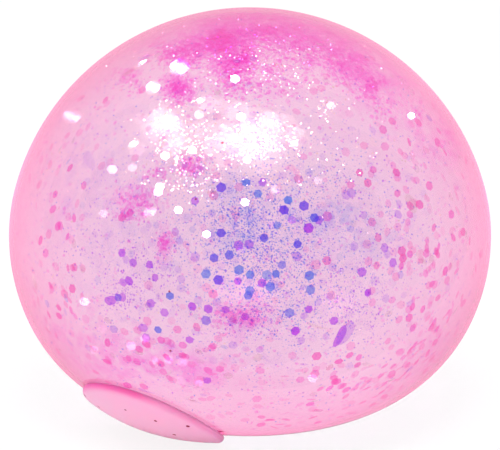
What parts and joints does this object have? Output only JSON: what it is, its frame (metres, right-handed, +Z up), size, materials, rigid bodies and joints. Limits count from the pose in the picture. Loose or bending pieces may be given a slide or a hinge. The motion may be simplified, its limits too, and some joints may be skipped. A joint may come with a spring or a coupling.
{
  "type": "squishy ball",
  "caption": "Soft see-through pink hand ball, filled with clear liquid and floating film glitter, sagging on its flat, with a round patch over the filling mouth.",
  "frame": {"origin": "middle of the flat that the ball's weight presses on the table", "axes": "+Z up through the middle of the ball, -Y to the front, where the patch shows at the lower left"},
  "size_m": [0.1, 0.1, 0.084],
  "materials": {
    "skin": "glossy, clear pink rubber",
    "plug": "satin pink rubber",
    "cement": "glossy, clear cement",
    "patch": "glossy pink rubber, less clear than the skin",
    "liquid": "clear liquid",
    "blue_film": "iridescent film",
    "indigo_film": "iridescent film",
    "violet_film": "iridescent film",
    "pink_film": "iridescent film",
    "magenta_film": "iridescent film",
    "pearl_film": "iridescent white film"
  },
  "bodies": {
    "shell": {"skin": "skin", "fill_plug": "plug", "cement": "cement", "seal_patch": "patch"},
    "filling": {"liquid": "liquid"},
    "glitter": {"blue_sequins": "blue_film", "indigo_sequins": "indigo_film", "violet_sequins": "violet_film", "pink_sequins": "pink_film", "pearl_sequins": "pearl_film", "blue_specks": "blue_film", "violet_specks": "violet_film", "magenta_specks": "magenta_film", "pearl_specks": "pearl_film", "film_flakes": "violet_film"}
  },
  "joints": [
    {"name": "squash", "type": "slide", "parent": "shell", "child": "filling", "axis": [0, 0, -1], "range_m": [0, 0.033], "stiffness_N_per_m": 2000, "springref_m": -0.0025, "deforming": ["skin", "liquid", "blue_sequins", "indigo_sequins", "violet_sequins", "pink_sequins", "pearl_sequins", "blue_specks", "violet_specks", "magenta_specks", "pearl_specks", "film_flakes"]},
    {"name": "swirl", "type": "hinge", "parent": "filling", "child": "glitter", "pos_m": [0, 0, 0.042], "axis": [0, 0, 1], "continuous": true}
  ]
}
